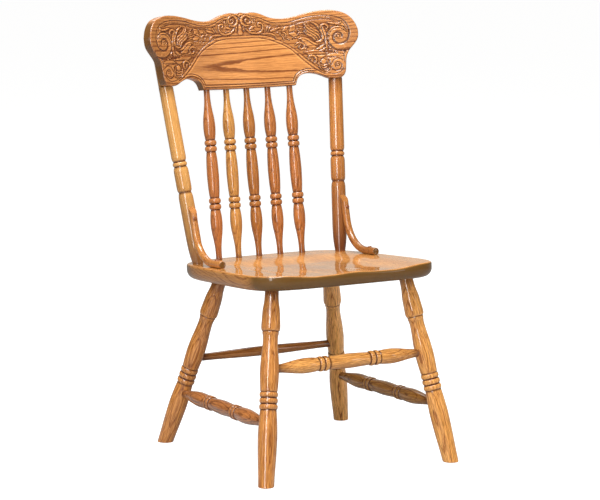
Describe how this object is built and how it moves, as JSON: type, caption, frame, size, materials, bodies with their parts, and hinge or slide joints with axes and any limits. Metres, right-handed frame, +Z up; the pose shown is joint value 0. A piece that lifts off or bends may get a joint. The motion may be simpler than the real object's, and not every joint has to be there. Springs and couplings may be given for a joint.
{
  "type": "pressback chair",
  "caption": "Armless oak side chair with a pressed and bent crest rail over turned spindles and posts, a saddled seat, hip braces, and turned legs joined by stretchers.",
  "frame": {"origin": "on the floor, under the middle of the chair's bounding box", "axes": "+Z up, -Y the way the sitter faces, +X to the right as seen from the front"},
  "size_m": [0.5704, 0.5995, 1.0001],
  "materials": {
    "oak_seat": "glossy lacquered oak",
    "oak_legs": "glossy lacquered oak",
    "oak_stretchers": "glossy lacquered oak",
    "oak_posts": "glossy lacquered oak",
    "oak_spindles": "glossy lacquered oak",
    "oak_crest": "glossy lacquered oak with darker stain in the pressed pattern",
    "oak_braces": "glossy lacquered oak",
    "oak_plugs": "glossy lacquered end grain",
    "zinc_screws": "zinc plated steel"
  },
  "bodies": {
    "root": {"seat_board_1": "oak_seat", "seat_board_2": "oak_seat", "seat_board_3": "oak_seat", "seat_board_4": "oak_seat", "seat_board_5": "oak_seat", "front_leg_left": "oak_legs", "front_leg_right": "oak_legs", "rear_leg_left": "oak_legs", "rear_leg_right": "oak_legs", "front_stretcher": "oak_stretchers", "rear_stretcher": "oak_stretchers", "side_stretcher_left": "oak_stretchers", "side_stretcher_right": "oak_stretchers", "back_post_left": "oak_posts", "back_post_right": "oak_posts", "spindle_1": "oak_spindles", "spindle_2": "oak_spindles", "spindle_3": "oak_spindles", "spindle_4": "oak_spindles", "spindle_5": "oak_spindles", "crest_rail": "oak_crest", "seat_brace_left": "oak_braces", "seat_brace_right": "oak_braces", "crest_screws": "zinc_screws", "brace_screws": "zinc_screws", "brace_plugs": "oak_plugs"}
  },
  "joints": []
}
